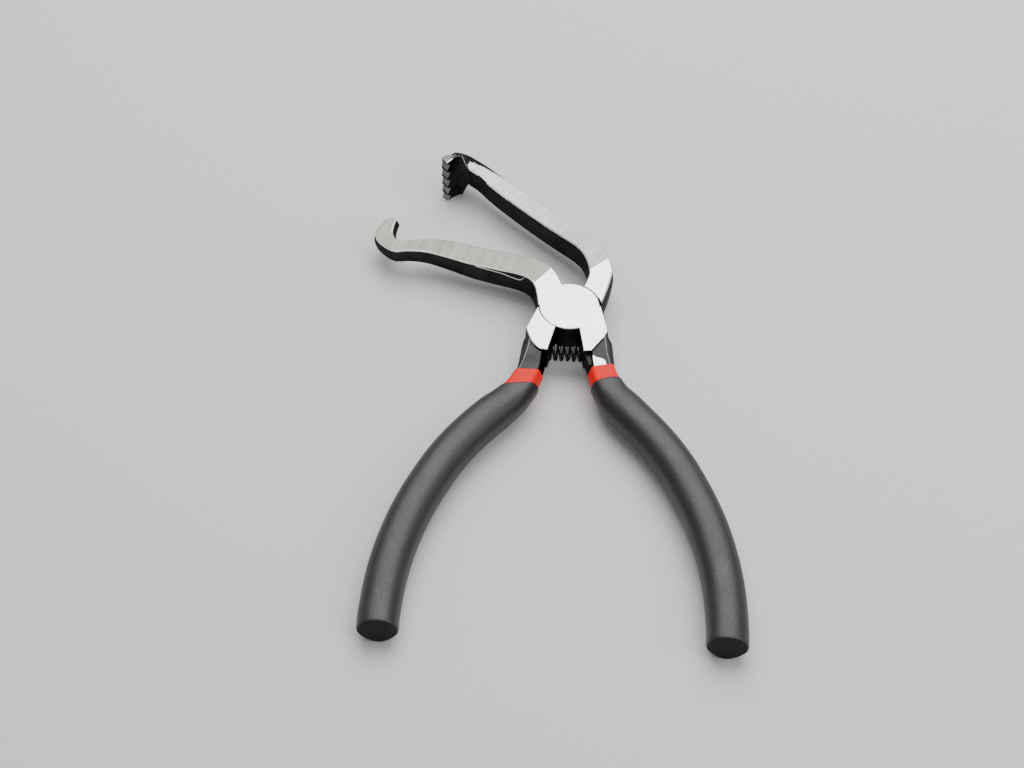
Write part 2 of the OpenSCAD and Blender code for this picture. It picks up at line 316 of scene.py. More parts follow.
def shoulder(m):
    if m > 0:
        edge = [[13.8, -10.8], [12.5, -13.8], [10.6, -16.7], [8.3, -20.1]]
        P = [[5, -3], [9.5, 0.3], [10.3, 0.3], [10.8, 1.2]] + edge + [[5.7, -20.3], [3.8, -9.9]]
        D = [0, 0, 0, 0.05] + [0.35] * len(edge) + [0.25, 0.0]
    else:
        edge = [[-14.6, -10.9], [-13.6, -14.1], [-12.5, -16.8], [-11.1, -18.8], [-9.4, -20.3]]
        P = [[-5, -3], [-10.5, -1.4], [-11.1, -0.9]] + edge + [[-6.8, -20.6], [-4.5, -9.9]]
        D = [0, 0, 0.05] + [0.35] * len(edge) + [0.25, 0.0]
    return prism("shoulder", P, 0, 10, 0.28, 0.28, D)


def disc(z0, z1, up):
    c = 0.28
    if up:
        prof = [(0, z0), (DISC, z0), (DISC, z1 - c), (DISC - c * 0.3, z1 - c * 0.3), (DISC - c, z1), (0, z1)]
    else:
        prof = [(0, z0), (DISC - c, z0), (DISC - c * 0.3, z0 + c * 0.3), (DISC, z0 + c), (DISC, z1), (0, z1)]
    return revolve("disc", prof, 192)


def cylinder_at(name, r, z0, z1, n=192):
    return revolve(name, [(0, z0), (r, z0), (r, z1), (0, z1)], n)


def rivet_profile(g):
    k = 1.0 / 1.4
    return [(0, -1), (4.5 + g + k, -1), (3.5 + g, 1.4), (3.5 + g, 8.6), (4.5 + g + k, 11), (0, 11)]


def pocket(m):
    verts, faces, n = [], [], 48
    for x in (3.3, 8.7):
        for i in range(n):
            a = 2 * math.pi * i / n
            verts.append((m * x, SPR_Y + 3.1 * math.cos(a), MID + 3.1 * math.sin(a)))
    for i in range(n):
        j = (i + 1) % n
        faces.append((i, j, n + j, n + i))
    faces += [tuple(range(n))[::-1], tuple(range(n, 2 * n))]
    return mesh_obj("pocket", verts, faces)


# ---------------------------------------------------------------- hook-jaw lever
inner_h = hook_inner[:-1] + hook_throat
outer_h = hook_outer[::-1]                      # root to tip, index 0 at the root
anch_h = [(0, 0), (1.0, 1.6), (1.72, 2.2), (2.3, 3.0), (3.0, 4.0), (4.0, 5.0), (5.0, 6.2), (6.0, 7.0), (7.0, 8.0), (8.0, 9.0),
          (9.0, 9.8), (10.0, 11.0), (11.0, 12.4), (12.0, 14.0), (13.0, 16.0)]
pairs = matched(inner_h, outer_h, anch_h)
# start inside the joint, and close the square tip with a small bevel
pairs = [([-1.5, 3.5], [-8.6, -0.2])] + [([-2.2, 7.2], [-10.2, 0.5])] + pairs
(A, B) = pairs[-1]
tx, ty = unit(A[0] - pairs[-4][0][0], A[1] - pairs[-4][0][1])
wx, wy = unit(B[0] - A[0], B[1] - A[1])
pairs[-1] = ([A[0] - tx * 0.3, A[1] - ty * 0.3], [B[0] - tx * 0.3, B[1] - ty * 0.3])
pairs.append(([A[0] + wx * 0.25, A[1] + wy * 0.25], [B[0] - wx * 0.25, B[1] - wy * 0.25]))
hook = arm("hook_jaw_lever_body", pairs, hook_t,
           proud=lambda x, y: (ease(0, 0.95, (-x - 57) / 6), ease(0, 0.3, (-x - 50) / 12)))
crease(hook, -9.3, 15.2, 143)
hook_blend = prism("blend", [[5.7, -20], [8.5, -19.8], [9.6, -25.4], [7.4, -25.4]], 1.8, 8.2, 0.5, 0.5)
# thin raised pad on the right tang near the red band; its top is painted bright ground steel below, a painted
# highlight for the glint there
glint = prism("pad", [[8.95, -21.3], [9.4, -21.9], [10, -22.3], [11.4, -22.7], [12.6, -23.05], [13.3, -23.8], [13.6, -25],
                      [14.05, -26.8], [14.5, -28.5], [9.9, -28.5], [9.3, -25], [8.95, -22.6]], 8.4, 9.2, 0.06, 0)
# sharp forging ridge that leaves the rim of the arm, dips down its wall and climbs back at the neck; its faces are
# painted bright edge steel, a painted glint line
RIDGE = []
edge_h = cr(hook_outer[8:-1], 40)
for x, dep in ((-34.4, 0.45), (-32.6, 0.75), (-29, 1.05), (-25.3, 1.45), (-21.7, 2.35), (-19.6, 2.75), (-18.5, 2.75), (-17.6, 2.3),
               (-16.8, 1.3), (-16.3, 0.7)):
    i = min(range(1, len(edge_h) - 1), key=lambda j: abs(edge_h[j][0] - x))
    nx, ny = unit(edge_h[i + 1][1] - edge_h[i - 1][1], edge_h[i - 1][0] - edge_h[i + 1][0])
    if ny > 0:
        nx, ny = -nx, -ny
    T = hook_t(*edge_h[i]) / 2
    off = 0.085 * T * (0.12 + 0.88 * dep / T)
    RIDGE.append((edge_h[i][0] + nx * off, edge_h[i][1] + ny * off, MID + T - dep, nx, ny))
RIDGE = cr([list(r) for r in RIDGE], 5)
ridge = loft("ridge", [[(x + nx * 0.2 * math.cos(a), y + ny * 0.2 * math.cos(a), z + 0.2 * math.sin(a))
                        for a in [2 * math.pi * k / 10 for k in range(10)]] for x, y, z, nx, ny in RIDGE])
csg(hook, [("UNION", disc(MID + LAP / 2, 10, True)), ("UNION", shoulder(1)), ("UNION", tang(1)),
           ("UNION", hook_blend), ("UNION", glint), ("UNION", ridge),
           ("DIFFERENCE", cylinder_at("cut", DISC + GAP, -3, MID + LAP / 2)),
           ("DIFFERENCE", revolve("cut", rivet_profile(0.008), 96)), ("DIFFERENCE", pocket(1))])

# ---------------------------------------------------------------- toothed-jaw lever
inner_b = bar_inner[::-1]
anch_b = [(0, 0), (0.45, 1.0), (1, 2.0), (1.6, 3.0), (2, 4.0), (2.5, 5.0), (3, 6.0), (4, 7.1), (5, 8.1), (6, 9.0),
          (7, 10.0), (8, 11.0), (9, 12.0), (10, 13.0)]
pairs = matched(inner_b, bar_outer, anch_b, 7)
pairs = [([3.2, 6.0], [9.6, 2.4])] + pairs
bar = arm("toothed_jaw_lever_body", pairs, bar_t)
crease(bar, 10.5, 21.6, 133)

# serrated plate and the web that climbs to it: one lofted strip with a growing height
pl_outer = [[-33, 67.0], [-37, 69.3], [-40.6, 71.1], [-43.4, 69.9], [-46.6, 69.3], [-48.5, 68.6], [-49.9, 67.6],
            [-50.3, 66.3]]
pl_inner = [[-32, 63.6], [-36, 65.6], [-39.9, 67.2], [-42.9, 68.1], [-44.6, 67.5], [-46, 66.5], [-47.1, 65.3],
            [-48.1, 64.1]]


def plate_t(s):
    return mix(7.8, 20.0, max(0.0, (s - 2.12) / 0.84) ** 1.1)


plate_s = [i / 10 for i in range(14, 70, 1)]
plate_pairs = [(cr_at(pl_inner, v), cr_at(pl_outer, v)) for v in plate_s] + [(pl_inner[-1], pl_outer[-1])]
rings = []
for i, (A, B) in enumerate(plate_pairs):
    nx, ny = unit(B[0] - A[0], B[1] - A[1])
    w = math.hypot(B[0] - A[0], B[1] - A[1])
    T = plate_t((plate_s + [7.0])[i]) / 2
    b = 0.25
    sv = (plate_s + [7.0])[i]
    bo, ho = mix(1.8, 0.3, (sv - 3.1) / 2.5), mix(3.2, 0.3, (sv - 3.1) / 2.5)
    ho = min(ho, max(T - 4.2, 0.25))
    bo = min(bo, max(ho * 0.6, 0.25))
    prof = [(-0.1, T * 0.6), (0.0, T - b), (b * 0.3, T - b * 0.3), (b, T), (w - bo, T), (w - bo * 0.38, T - ho * 0.32),
            (w, T - ho), (w + 0.1, T * 0.55)]
    rings.append([(A[0] + nx * u, A[1] + ny * u, MID + z) for u, z in prof] +
                 [(A[0] + nx * u, A[1] + ny * u, MID - z) for u, z in prof[::-1]])
plate = loft("plate", rings)

# forged blend that runs round the outside of the corner and dies out along the bar
BLEND = [[-24.6, 60, 4.1, -25, 61.6, 4], [-27.6, 62.2, 4.1, -28.4, 64.7, 3.8], [-31, 64.9, 4.1, -31.8, 68.2, 3.5],
         [-34.4, 67.2, 4.1, -35.1, 71.5, 3], [-37.4, 69, 4.1, -38, 73.8, 2.9], [-39.6, 70, 4.2, -40.2, 75.1, 3.2],
         [-41.4, 69.9, 5, -42, 74.9, 4.4], [-43.1, 68.7, 9, -44, 73.3, 6.6], [-45.4, 68.4, 9, -45.9, 71.8, 8],
         [-47.4, 67.9, 9, -47.8, 69.3, 8.4]]
rings = []
for i in range((len(BLEND) - 1) * 6 + 1):
    x0, y0, h0, x1, y1, h1 = cr_at(BLEND, i / 6)
    top = []
    for k in range(6):
        t = k / 5
        top.append((mix(x0, x1, t), mix(y0, y1, t), mix(h0, h1, t ** 1.35) + 0.22 * math.sin(math.pi * t)))
    top += [(x1 + (x1 - x0) * 0.03, y1 + (y1 - y0) * 0.03, h1 - 0.35)]
    rings.append([(x, y, MID + z) for x, y, z in top] + [(x, y, MID - z) for x, y, z in top[::-1]])
blend_o = loft("blend", rings)


def tooth_cut(i):
    p = 20.0 / 5
    zc = MID - 10 + (i + 0.5) * p
    ex, ey = math.cos(math.radians(228)), math.sin(math.radians(228))
    gx, gy = -ey, ex
    prof = [(2.5, -p * 0.5), (2.5, p * 0.40), (0.12, p * 0.28), (-1.25, p * 0.05), (-1.3, -p * 0.04), (0.12, -p * 0.5)]
    rings = []
    for s in (-6, 6):
        rings.append([(-49.2 + ex * d + gx * s, 65.2 + ey * d + gy * s, zc + z) for d, z in prof])
    return loft("tooth", rings)


seam = plain_prism("seam", [[9.9, 4.9], [10.6, 3.9], [11.2, 2.4], [11.5, 0.9], [11.6, 0], [10, 0]], MID + LAP / 2, 12)
csg(bar, [("UNION", plate), ("UNION", blend_o), ("UNION", disc(0, MID - LAP / 2, False)), ("UNION", shoulder(-1)), ("UNION", tang(-1)),
          ("DIFFERENCE", cylinder_at("cut", DISC + GAP, MID - LAP / 2, 13)),
          ("DIFFERENCE", revolve("cut", rivet_profile(0.0), 96)), ("DIFFERENCE", pocket(-1)), ("DIFFERENCE", seam)]
    + [("DIFFERENCE", tooth_cut(i)) for i in range(5)])

rivet = revolve("pivot_rivet_body", [(0, 0), (4.49, 0), (3.5, 1.4), (3.5, 8.6), (4.49, 10), (0, 10)], 96)


# ---------------------------------------------------------------- dipped coats
def polar_round(w, h, t):
    """oval, fuller above than below"""
    c, s = math.cos(t), math.sin(t)
    k = ease(1.08, 0.88, (s + 0.45) / 0.9)
    return (math.copysign(abs(c) ** k, c) * w / 2, math.copysign(abs(s) ** 0.88, s) * h / 2)


def polar_oct(a, b, h, t):
    """corner-cut section of the tang, by direction t, with its corners eased"""
    c, s = abs(math.cos(t)), abs(math.sin(t))
    # walls: x/b side slanting from (b, 0) to (a, h), flat at z = h
    r1 = h / max(s, 1e-6)
    r2 = 1.0 / max((c / b) + s * (1 - a / b) / h, 1e-6)
    r = (r1 ** -9 + r2 ** -9) ** (-1 / 9)
    return (r * math.cos(t), r * math.sin(t))


def place(u, q0, z, m, k):
    uu = min(max(u + k * q0, 0.0), 1.0)
    p, n = at(uu), side(uu)
    return (m * (p[0] + n[0] * q0), p[1] + n[1] * q0, MID + z)


RED_U, BLK_U = {1: 0.160, -1: 0.187}, {1: 0.209, -1: 0.240}
RED_K, BLK_K = {1: -0.0002, -1: 0.0024}, {1: 0.0007, -1: 0.0050}
SEG = 72


def red_pt(u, m, t, grow=0.0):
    g = ease(0, 1, (u - RED_U[m]) / 0.11)
    ox, oz = polar_oct(3.9 + grow, 5.15 + grow, 4.75 + grow, t)
    rx, rz = polar_round(11.8 + 2 * grow, 10.8 + 2 * grow, t)
    return mix(ox, rx, g), mix(oz, rz, g)


def coat_red(m):
    rings = []
    n = 90
    # mouth turned in to the tang, then the outside
    for f, du in ((-0.75, 0.002), (-0.45, -0.0005), (-0.14, 0.0), (0.0, 0.0035)):
        rings.append([place(RED_U[m] + du, *red_pt(RED_U[m], m, 2 * math.pi * j / SEG, f), m, RED_K[m]) for j in range(SEG)])
    for i in range(1, n + 1):
        u = RED_U[m] + 0.0035 + (0.955 - RED_U[m] - 0.0035) * i / n
        fade = max(0.0, 1 - (u - RED_U[m]) / 0.12)
        kk = RED_K[m] * fade
        rings.append([place(u, *red_pt(u, m, 2 * math.pi * j / SEG), m, kk) for j in range(SEG)])
    return loft("red_coat_%s_body" % ("right" if m > 0 else "left"), rings)


def blk_pt(u, m, t):
    a = ease(0, 1, (u - BLK_U[m]) / 0.085)
    g = ease(0, 1, (u - BLK_U[m]) / 0.05)
    w, h = mix(11.75, 13.4, a), mix(10.6, 12.4, a)
    # a faint swell along the middle of the palm side
    w += 0.25 * math.sin(math.pi * min(max((u - 0.35) / 0.6, 0), 1))
    ox, oz = polar_oct(4.7, 5.8, 5.5, t)
    rx, rz = polar_round(w, h, t)
    if rz < 0:
        rx *= 1 - ease(0, 0.3, (u - 0.86) / 0.14) * (-2 * rz / h) ** 1.5
    return mix(ox, rx, max(g, 0.7)), mix(oz, rz, max(g, 0.7))


def coat_black(m):
    rings = []
    for f, du in ((0.86, 0.004), (0.925, 0.0002), (0.965, 0.0), (0.99, 0.0022), (1.0, 0.0055)):
        r = []
        for j in range(SEG):
            x, z = blk_pt(BLK_U[m], m, 2 * math.pi * j / SEG)
            r.append(place(BLK_U[m] + du, x * f, z * f, m, BLK_K[m]))
        rings.append(r)
    n = 140
    last = 0.972
    for i in range(1, n + 1):
        u = BLK_U[m] + 0.0055 + (last - BLK_U[m] - 0.0055) * (i / n) ** 0.97
        fade = max(0.0, 1 - (u - BLK_U[m]) / 0.14) ** 1.5
        r = []
        for j in range(SEG):
            x, zz = blk_pt(u, m, 2 * math.pi * j / SEG)
            r.append(place(u, x, zz, m, BLK_K[m] * fade))
        rings.append(r)
    # cut end: eased rim, then a nearly flat face, faintly crowned
    p, q = at(0.9999), side(0.9999)
    for d, f in ((1.7, 1.0), (1.0, 0.996), (0.6, 0.984), (0.34, 0.967), (0.15, 0.943), (0.04, 0.912), (-0.02, 0.87),
                 (-0.1, 0.74), (-0.2, 0.5), (-0.26, 0.25)):
        r = []
        for j in range(SEG):
            x, zz = blk_pt(1.0, m, 2 * math.pi * j / SEG)
            x, zz = x * f, zz * f
            r.append((m * (p[0] + q[0] * x - q[1] * d), p[1] + q[1] * x + q[0] * d, MID + zz))
        rings.append(r)
    return loft("black_grip_%s_body" % ("right" if m > 0 else "left"), rings)


red_r, red_l = coat_red(1), coat_red(-1)
blk_r, blk_l = coat_black(1), coat_black(-1)


# ---------------------------------------------------------------- spring
def coil_x(v):
    q = 1.1 / TURNS
    L = 2 * SPR_X - WIRE
    if v < q:
        return WIRE * 0.9 * v / q
    if v > 1 - q:
        return L - WIRE * 0.9 * (1 - v) / q
    return WIRE * 0.9 + (L - WIRE * 1.8) * (v - q) / (1 - 2 * q)


rings = []
N = int(TURNS * 44)
R = (SPR_OD - WIRE) / 2
for i in range(N + 1):
    a = 2 * math.pi * TURNS * i / N
    x = coil_x(i / N)
    dxda = (coil_x(min(i / N + 0.002, 1)) - coil_x(max(i / N - 0.002, 0))) / (0.004 * 2 * math.pi * TURNS)
    tl = math.hypot(R, dxda)
    r = []
    for j in range(14):
        b = 2 * math.pi * j / 14
        rad, bi = WIRE / 2 * math.cos(b), WIRE / 2 * math.sin(b)
        # binormal leans with the helix
        bx, bt = R / tl, -dxda / tl
        yy = (R + rad) * math.cos(a) + bi * bt * -math.sin(a)
        zz = (R + rad) * math.sin(a) + bi * bt * math.cos(a)
        r.append((-SPR_X + WIRE / 2 + x + bi * bx, SPR_Y + yy, MID + zz))
    rings.append(r)
spring = loft("return_spring_body", rings)


# ---------------------------------------------------------------- materials
def new_mat(name):
    m = bpy.data.materials.new(name)
    m.use_nodes = True
    nt = m.node_tree
    return m, nt, nt.nodes["Principled BSDF"]


def coords(nt, scale, ang=0.0):
    """object coordinates turned by ang about Z, then scaled"""
    tc = nt.nodes.new("ShaderNodeTexCoord")
    mp = nt.nodes.new("ShaderNodeMapping")
    mp.vector_type = "TEXTURE"
    mp.inputs["Scale"].default_value = [1 / v for v in scale]
    mp.inputs["Rotation"].default_value = (0, 0, math.radians(ang))
    nt.links.new(tc.outputs["Object"], mp.inputs["Vector"])
    return mp.outputs["Vector"]


def noise(nt, vec, scale, detail=4, rough=0.55, dist=0.0):
    n = nt.nodes.new("ShaderNodeTexNoise")
    n.inputs["Scale"].default_value = scale
    n.inputs["Detail"].default_value = detail
    n.inputs["Roughness"].default_value = rough
    n.inputs["Distortion"].default_value = dist
    nt.links.new(vec, n.inputs["Vector"])
    return n.outputs["Fac"]


def ramp(nt, fac, stops):
    r = nt.nodes.new("ShaderNodeValToRGB")
    while len(r.color_ramp.elements) > 1:
        r.color_ramp.elements.remove(r.color_ramp.elements[-1])
    for i, (p, c) in enumerate(stops):
        el = r.color_ramp.elements[0] if i == 0 else r.color_ramp.elements.new(p)
        el.position = p
        el.color = (c[0], c[1], c[2], 1)
    nt.links.new(fac, r.inputs["Fac"])
    return r.outputs["Color"]


def span(nt, fac, lo, hi, a=0.0, b=1.0):
    n = nt.nodes.new("ShaderNodeMapRange")
    n.inputs["From Min"].default_value, n.inputs["From Max"].default_value = a, b
    n.inputs["To Min"].default_value, n.inputs["To Max"].default_value = lo, hi
    nt.links.new(fac, n.inputs["Value"])
    return n.outputs["Result"]


def bump(nt, height, strength, dist, normal=None):
    b = nt.nodes.new("ShaderNodeBump")
    b.inputs["Strength"].default_value = strength
    b.inputs["Distance"].default_value = dist
    nt.links.new(height, b.inputs["Height"])
    if normal is not None:
        nt.links.new(normal, b.inputs["Normal"])
    return b.outputs["Normal"]


def ground_steel(name, base, ang, rough, depth=0.1, lines=1500, band=0.18, fade=None):
    m, nt, p = new_mat(name)
    fine = noise(nt, coords(nt, (45, lines, 45), ang), 1.0, 5, 0.6)
    broad = noise(nt, coords(nt, (25, lines * 0.3, 25), ang), 1.0, 3)
    blotch = noise(nt, coords(nt, (1, 1, 1)), 110, 3)
    p.inputs["Metallic"].default_value = 1.0
    mixn = nt.nodes.new("ShaderNodeMath")
    mixn.operation = "ADD"
    nt.links.new(span(nt, fine, -0.22, 0.22, 0.32, 0.68), mixn.inputs[0])
    nt.links.new(span(nt, broad, 0.5 - band, 0.5 + band, 0.32, 0.68), mixn.inputs[1])
    lo = [c * (1 - depth) for c in base]
    hi = [min(c * (1 + depth), 1.0) for c in base]
    col = ramp(nt, mixn.outputs[0], [(0.25, lo), (0.75, hi)])
    if fade:
        # painted light along a face: the colour is scaled along x between two factors, brightening the bar arm towards
        # its far end as a painted sheen and darkening the plate's cap as painted shade: fade = (x mm, x mm, factor,
        # factor)
        sx = nt.nodes.new("ShaderNodeSeparateXYZ")
        nt.links.new(coords(nt, (1, 1, 1)), sx.inputs[0])
        sc = nt.nodes.new("ShaderNodeVectorMath")
        sc.operation = "SCALE"
        nt.links.new(col, sc.inputs[0])
        nt.links.new(span(nt, sx.outputs[0], fade[2], fade[3], fade[0] * MM, fade[1] * MM), sc.inputs["Scale"])
        col = sc.outputs[0]
    nt.links.new(col, p.inputs["Base Color"])
    add = nt.nodes.new("ShaderNodeMath")
    add.operation = "ADD"
    nt.links.new(span(nt, blotch, rough - 0.05, rough + 0.05, 0.3, 0.7), add.inputs[0])
    nt.links.new(span(nt, fine, -0.06, 0.06, 0.3, 0.7), add.inputs[1])
    nt.links.new(add.outputs[0], p.inputs["Roughness"])
    n1 = bump(nt, fine, 0.4, 0.00004)
    nt.links.new(n1, p.inputs["Normal"])
    return m


def forged_steel(name, dark, light, rough, metallic=0.9, grain=0.00006):
    m, nt, p = new_mat(name)
    v = coords(nt, (1, 1, 1))
    big = noise(nt, v, 160, 4, 0.6)
    small = noise(nt, v, 1100, 5, 0.65)
    p.inputs["Metallic"].default_value = metallic
    p.inputs["Specular Tint"].default_value = (0.22, 0.22, 0.22, 1)
    nt.links.new(ramp(nt, big, [(0.3, dark), (0.72, light)]), p.inputs["Base Color"])
    nt.links.new(span(nt, big, rough - 0.08, rough + 0.10, 0.3, 0.7), p.inputs["Roughness"])
    n1 = bump(nt, small, 0.35, grain)
    n2 = bump(nt, big, 0.25, 0.00025, n1)
    nt.links.new(n2, p.inputs["Normal"])
    return m


def vinyl(name, dark, light, rough, grain, strength, spec=0.5, sheen=0.0, depth=0.00016):
    m, nt, p = new_mat(name)
    v = coords(nt, (1, 1, 1))
    cloud = noise(nt, v, 90, 3)
    pebble = noise(nt, v, grain, 4, 0.6)
    coarse = noise(nt, v, grain * 0.42, 3, 0.6, 0.4)
    p.inputs["Metallic"].default_value = 0.0
    p.inputs["Specular IOR Level"].default_value = spec
    if sheen:
        p.inputs["Sheen Weight"].default_value = sheen
        p.inputs["Sheen Roughness"].default_value = 0.5
    nt.links.new(ramp(nt, cloud, [(0.32, dark), (0.7, light)]), p.inputs["Base Color"])
    add = nt.nodes.new("ShaderNodeMath")
    add.operation = "ADD"
    nt.links.new(span(nt, cloud, rough - 0.04, rough + 0.04, 0.3, 0.7), add.inputs[0])
    nt.links.new(span(nt, pebble, -0.05, 0.05, 0.35, 0.65), add.inputs[1])
    nt.links.new(add.outputs[0], p.inputs["Roughness"])
    n1 = bump(nt, coarse, strength * 0.5, depth * 1.3)
    nt.links.new(bump(nt, pebble, strength, depth, n1), p.inputs["Normal"])
    return m


M_GROUND = ground_steel("ground_steel", (0.87, 0.86, 0.853), 4, 0.32, 0.12)
M_FORGED = forged_steel("forged_steel", (0.012, 0.011, 0.0105), (0.036, 0.033, 0.031), 0.36, 0.75)
M_ARM_H = ground_steel("brushed_arm_hook", (0.2, 0.193, 0.175), 74, 0.32, 0.3, 1700, 0.07)
# brushed bar arm; its colour grows brighter towards the plate end (fade), a painted sheen
M_BAR_ARM_SHEEN = ground_steel("bar_arm_brushed_painted_sheen", (0.31, 0.296, 0.282), 52, 0.32, 0.26, 1700, 0.07, (4, -42, 0.94, 1.42))
# bright steel of the broken edges, also a painted glint along them, on the ridge and on the strip at the plate's
# corner
M_BRIGHT_EDGE_GLINT = ground_steel("edge_steel_and_painted_glint", (0.95, 0.93, 0.88), 30, 0.3, 0.06)
# polished tang steel kept near black: its darkness is a painted reflection of dark surroundings
M_DARK_REFLECTION_TANG = forged_steel("tang_top_painted_dark_reflection", (0.0225, 0.0225, 0.0238), (0.042, 0.0415, 0.043), 0.26, 1.0, 0.00002)
M_TWALL = forged_steel("tang_flank", (0.13, 0.128, 0.13), (0.21, 0.207, 0.21), 0.3, 1.0, 0.00002)
# lighter steel on the tang's thin edge faces: painted highlight lines
M_GLINT_LINE_TANG = forged_steel("tang_glint_line", (0.11, 0.108, 0.108), (0.2, 0.197, 0.195), 0.3, 1.0, 0.00001)
# lighter steel for the tooth faces that turn up: painted light
M_LIT_TOOTH = ground_steel("painted_light_tooth_flank", (0.36, 0.355, 0.35), 90, 0.36, 0.25)
# brushed cap of the serrated plate, darkened to a quarter away from its tip (fade): painted shade
M_PLATE_CAP_SHADE = ground_steel("plate_cap_painted_shade", (0.135, 0.132, 0.124), 20, 0.34, 0.3, 1500, 0.1, (-47.4, -45.2, 0.95, 0.25))
M_THROAT = forged_steel("hook_throat", (0.075, 0.073, 0.068), (0.12, 0.117, 0.11), 0.34, 0.9)
M_RIVET = ground_steel("ground_rivet", (0.87, 0.86, 0.853), 4, 0.31, 0.12)
M_SPRING = forged_steel("spring_wire", (0.03, 0.029, 0.028), (0.06, 0.058, 0.056), 0.15, 1.0, 0.000012)
M_RED = vinyl("red_vinyl", (0.82, 0.0072, 0.0025), (0.94, 0.011, 0.0042), 0.42, 800, 0.14, 0.16)
M_BLACK = vinyl("black_vinyl", (0.0045, 0.0045, 0.005), (0.009, 0.009, 0.0095), 0.49, 1600, 0.6, 0.72, 0.0, 0.00012)
# darker, duller copy of the black vinyl for the grips' end faces: painted shade
M_SHADED_GRIP_END = vinyl("grip_end_painted_shade", (0.004, 0.004, 0.0045), (0.007, 0.007, 0.0075), 0.7, 900, 0.5, 0.3, 0.0, 0.00014)

MATS = [M_GROUND, M_FORGED, M_BRIGHT_EDGE_GLINT, M_DARK_REFLECTION_TANG, None, M_GLINT_LINE_TANG, M_LIT_TOOTH, M_PLATE_CAP_SHADE, M_TWALL, M_THROAT]
PATH_S = [(at(i / 400), side(i / 400), i / 400) for i in range(0, 141)]


def tang_kind(c, m):
    """which strip of the tang a face belongs to, from its place in the tang's own section"""
    x, y = m * c.x, c.y
    p, q, u = min(PATH_S, key=lambda e: (e[0][0] - x) ** 2 + (e[0][1] - y) ** 2)
    s, z = (x - p[0]) * q[0] + (y - p[1]) * q[1], abs(c.z - MID)
    a, b, h = abs(sec_tang(u)[4][0]) + 0.28, sec_tang(u)[0][0], sec_tang(u)[2][1]
    # thin faces at the edge of the top flat and at the lower edge of the outer bevel: painted highlight lines
    if z > h - 0.12 and a - 0.52 < s < a - 0.2:
        return 5
    if h - 1.0 < z < h - 0.68 and a + 0.36 < s < a + 0.62:
        return 5
    if m > 0 and s < -a + 0.1 and z < 3.3:
        return 1
    if s > a - 0.2 and z > 0.4:
        return 8
    # the rest of the tang: near-black polished steel, a painted dark reflection
    return 3


def near(c, P):
    """distance from a point to a chain of points"""
    best = 1e9
    for a, b in zip(P, P[1:]):
        d = [b[i] - a[i] for i in range(3)]
        t = sum((c[i] - a[i]) * d[i] for i in range(3)) / (sum(q * q for q in d) or 1)
        t = min(max(t, 0), 1)
        best = min(best, sum((c[i] - a[i] - d[i] * t) ** 2 for i in range(3)))
    return math.sqrt(best)


# inner edge of the plate's ramp, the path of a thin strip painted bright edge steel as a glint line
GLINT_STRIP_PATH = [(p[0], p[1], 0) for p in cr(pl_inner, 6)]


def beyond_bar(x, y):
    """outside the outer edge of the toothed arm"""
    best = 1e9
    out = False
    for i in range(len(EDGE_B) - 1):
        (ax, ay), (bx, by) = EDGE_B[i], EDGE_B[i + 1]
        dx, dy = bx - ax, by - ay
        t = min(max(((x - ax) * dx + (y - ay) * dy) / (dx * dx + dy * dy), 0), 1)
        d = math.hypot(x - ax - dx * t, y - ay - dy * t)
        if d < best:
            best = d
            out = dx * (y - ay) - dy * (x - ax) < 0
    return out and best > 0.03


EDGE_B = cr(bar_outer, 8)[-64:]


def paint_lever(ob, tf, arm_mat, m_side):
    me = ob.data
    me.materials.clear()
    for m in MATS:
        me.materials.append(m or arm_mat)
    for f in me.polygons:
        c = f.center / MM
        nz = abs(f.normal.z)
        r = math.hypot(c.x, c.y)
        onjoint = c.y > -21 and r < 24 and (c.z > 9.5 or c.z < 0.5)
        if r < 12.3 and c.y > -12 and (nz > 0.9 or r < 11.6) and 0.6 < c.z < 9.4:
            k = 0 if nz > 0.9 else 1
        # top of the raised pad on the right tang: bright ground steel, a painted highlight
        elif c.y < -21 and m_side > 0 and nz > 0.9 and 9.17 < c.z < 9.3:
            k = 0
        elif c.y < -8 and not onjoint:
            k = tang_kind(c, m_side) if 0.5 < c.z < 9.5 and c.y < -10.5 else 3
        elif nz > 0.985:
            k = 7 if abs(c.z - MID) > 9.5 else 0 if tf(c.x, c.y) > 9.9998 else 4
        # faces of the forging ridge on the hook wall: bright edge steel, a painted glint line
        elif m_side > 0 and -36 < c.x < -15 and 6 < c.z < 9.6 and f.area < 0.25e-6 and near(c, RIDGE) < 0.3:
            k = 2
        elif m_side > 0 and -68 < c.x < -61 and 31.5 < c.y < 42 and f.normal.x > 0.3 and nz < 0.25:
            k = 9
        elif m_side < 0 and -43.7 < c.x < -39 and c.y > 64 and f.normal.x > 0.2 and nz > 0.1 and abs(c.z - MID) > 3.9 \
                and not beyond_bar(c.x, c.y):
            # a thin strip along the ramp's inner edge is painted bright edge steel, a painted glint line; the rest of
            # the chamfer is dark forged steel
            k = 2 if near((c.x, c.y, 0), GLINT_STRIP_PATH) < 0.24 else 1
        elif c.x < -27 and beyond_bar(c.x, c.y) and c.y > 50:
            k = 1
        # bevels just under the top faces: bright broken-edge steel, with a painted glint
        elif 0.25 < nz <= 0.985 and abs(c.z - 5) > (9.8 if c.x < -40.2 and c.y > 62 else tf(c.x, c.y) / 2 - 0.9):
            k = 1 if -46.2 < c.x < -40.2 and c.y > 62 else 2
        # tooth faces that turn up are painted light and those that turn down dark forged steel: painted light and
        # painted shade
        elif c.x < -47.2 and c.y > 60 and (f.normal.x * -0.67 + f.normal.y * -0.74) > 0.2:
            k = 6 if f.normal.z > 0.15 else 1
        else:
            k = 1
        f.material_index = k


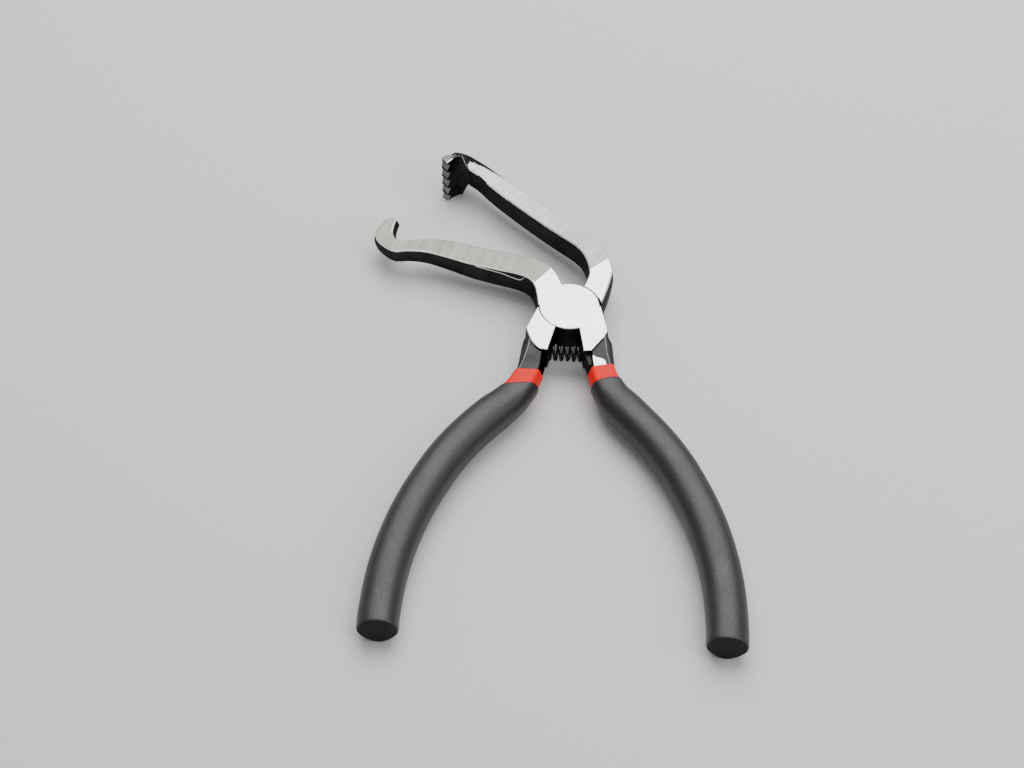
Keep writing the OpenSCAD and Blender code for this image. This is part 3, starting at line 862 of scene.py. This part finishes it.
def finish_mesh(ob, angle=35):
    me = ob.data
    w = ob.modifiers.new("weights", "WEIGHTED_NORMAL")
    w.keep_sharp, w.weight = True, 80
    for f in me.polygons:
        f.use_smooth = True
    me.set_sharp_from_angle(angle=math.radians(angle))


paint_lever(hook, hook_t, M_ARM_H, 1)
paint_lever(bar, lambda x, y: 20 if x < -41 and y > 62 else bar_t(x, y), M_BAR_ARM_SHEEN, -1)
for o in (hook, bar):
    finish_mesh(o, 20)
for o, m in ((rivet, M_RIVET), (spring, M_SPRING), (red_r, M_RED), (red_l, M_RED), (blk_r, M_BLACK), (blk_l, M_BLACK)):
    o.data.materials.append(m)
    finish_mesh(o, 40 if o is rivet else 60)
for o in (blk_r, blk_l):
    o.data.materials.append(M_SHADED_GRIP_END)
    # end faces of the grips take the darker, duller vinyl: painted shade
    for f in o.data.polygons:
        if f.normal.y < -0.86 and f.center.y < -0.1342:
            f.material_index = 1

for o, node, body, slot in ((hook, "hook_jaw_lever", HOOK, "lever_steel"), (bar, "toothed_jaw_lever", TOOTHED, "lever_steel"),
                            (rivet, "pivot_rivet", TOOTHED, "rivet_steel"), (spring, "return_spring", TOOTHED, "spring_steel"),
                            (red_r, "red_coat_right", HOOK, "red_coat"), (red_l, "red_coat_left", TOOTHED, "red_coat"),
                            (blk_r, "black_grip_right", HOOK, "black_grip"), (blk_l, "black_grip_left", TOOTHED, "black_grip")):
    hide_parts(node)
    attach(o, body)
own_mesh(spring)

# ---------------------------------------------------------------- stage, light, camera
m, nt, p = new_mat("floor_paper")
p.inputs["Base Color"].default_value = (0.70, 0.70, 0.70, 1)
p.inputs["Roughness"].default_value = 0.85
SLOPE = -3.8 / 197.0
ext = 1500
fz = lambda y: -1.22 + SLOPE * (y + 130)
floor = mesh_obj("floor", [(-ext, -ext, fz(-ext)), (ext, -ext, fz(-ext)), (ext, ext, fz(ext)), (-ext, ext, fz(ext))],
                 [(0, 1, 2, 3)])
if floor.data.polygons[0].normal.z < 0:
    floor.data.flip_normals()
floor.data.materials.append(m)

world = bpy.data.worlds.new("studio")
bpy.context.scene.world = world
world.use_nodes = True
bg = world.node_tree.nodes["Background"]
bg.inputs["Color"].default_value = (0.86, 0.88, 0.92, 1)
bg.inputs["Strength"].default_value = 0.42


def area(name, loc, target, size, power, color=(1, 1, 1)):
    d = bpy.data.lights.new(name, "AREA")
    d.shape, d.size, d.energy, d.color = "SQUARE", size, power, color
    o = bpy.data.objects.new(name, d)
    bpy.context.scene.collection.objects.link(o)
    o.location = loc
    o.rotation_euler = (Vector(target) - Vector(loc)).to_track_quat("-Z", "Y").to_euler()
    return o


area("key", (0.03, 0.55, 0.98), (0, 0, 0), 1.15, 18)
area("fill", (0.7, -0.3, 0.8), (0, -0.03, 0), 0.8, 4.5)

cam = bpy.data.cameras.new("camera")
cam.sensor_width = 36
cam.lens = 2000 / 1024 * 36
co = bpy.data.objects.new("camera", cam)
bpy.context.scene.collection.objects.link(co)
co.location = (0.0072, -0.4711, 0.5317)
co.rotation_euler = Vector((-0.0372, 0.6393, -0.7680)).to_track_quat("-Z", "Y").to_euler()
cam.clip_start, cam.clip_end = 0.01, 20
bpy.context.scene.camera = co
